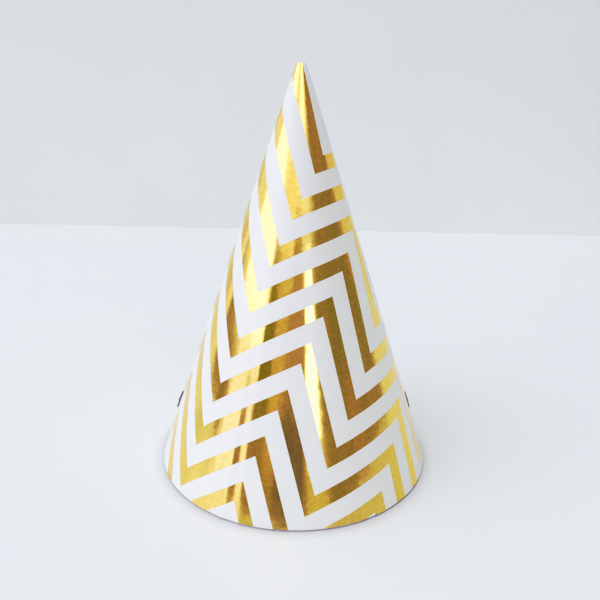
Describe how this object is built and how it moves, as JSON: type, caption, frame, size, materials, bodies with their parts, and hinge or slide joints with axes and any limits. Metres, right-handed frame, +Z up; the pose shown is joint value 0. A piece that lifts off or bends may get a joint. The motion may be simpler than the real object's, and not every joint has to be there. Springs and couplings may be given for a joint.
{
  "type": "party hat",
  "caption": "Cone party hat of rolled white card with gold foil zigzag bands and an elastic chin cord held by metal end bars.",
  "frame": {"origin": "centre of the rim, on the surface that the hat stands on", "axes": "+Z up to the tip, -Y to the front, +X to the hat's right-hand bar as seen from the front"},
  "size_m": [0.114, 0.1142, 0.1595],
  "materials": {
    "white_card": "smooth coated white card, light satin gloss",
    "gold_foil": "hot-stamped metallised gold film, mirror bright with fine creases",
    "glue": "clear dried glue",
    "elastic": "white round braided elastic",
    "bar_metal": "dull pressed steel"
  },
  "bodies": {
    "hat": {"cone_card": "white_card", "elastic_cord": "elastic", "foil_band_01": "gold_foil", "foil_band_02": "gold_foil", "foil_band_03": "gold_foil", "foil_band_04": "gold_foil", "foil_band_05": "gold_foil", "foil_band_06": "gold_foil", "foil_band_07": "gold_foil", "foil_band_08": "gold_foil", "foil_band_09": "gold_foil", "foil_band_10": "gold_foil", "foil_band_11": "gold_foil", "seam_glue_strip": "glue"},
    "left_bar": {"left_end_bar": "bar_metal"},
    "right_bar": {"right_end_bar": "bar_metal"}
  },
  "joints": [
    {"name": "left_bar_swivel", "type": "hinge", "parent": "hat", "child": "left_bar", "pos_m": [-0.04973, 0.00287, 0.0205], "axis": [-0.9436, 0.0544, 0.3265], "range_deg": [-90, 90]},
    {"name": "right_bar_swivel", "type": "hinge", "parent": "hat", "child": "right_bar", "pos_m": [0.04963, 0.00636, 0.0205], "axis": [0.9375, 0.1201, 0.3265], "range_deg": [-90, 90]}
  ]
}
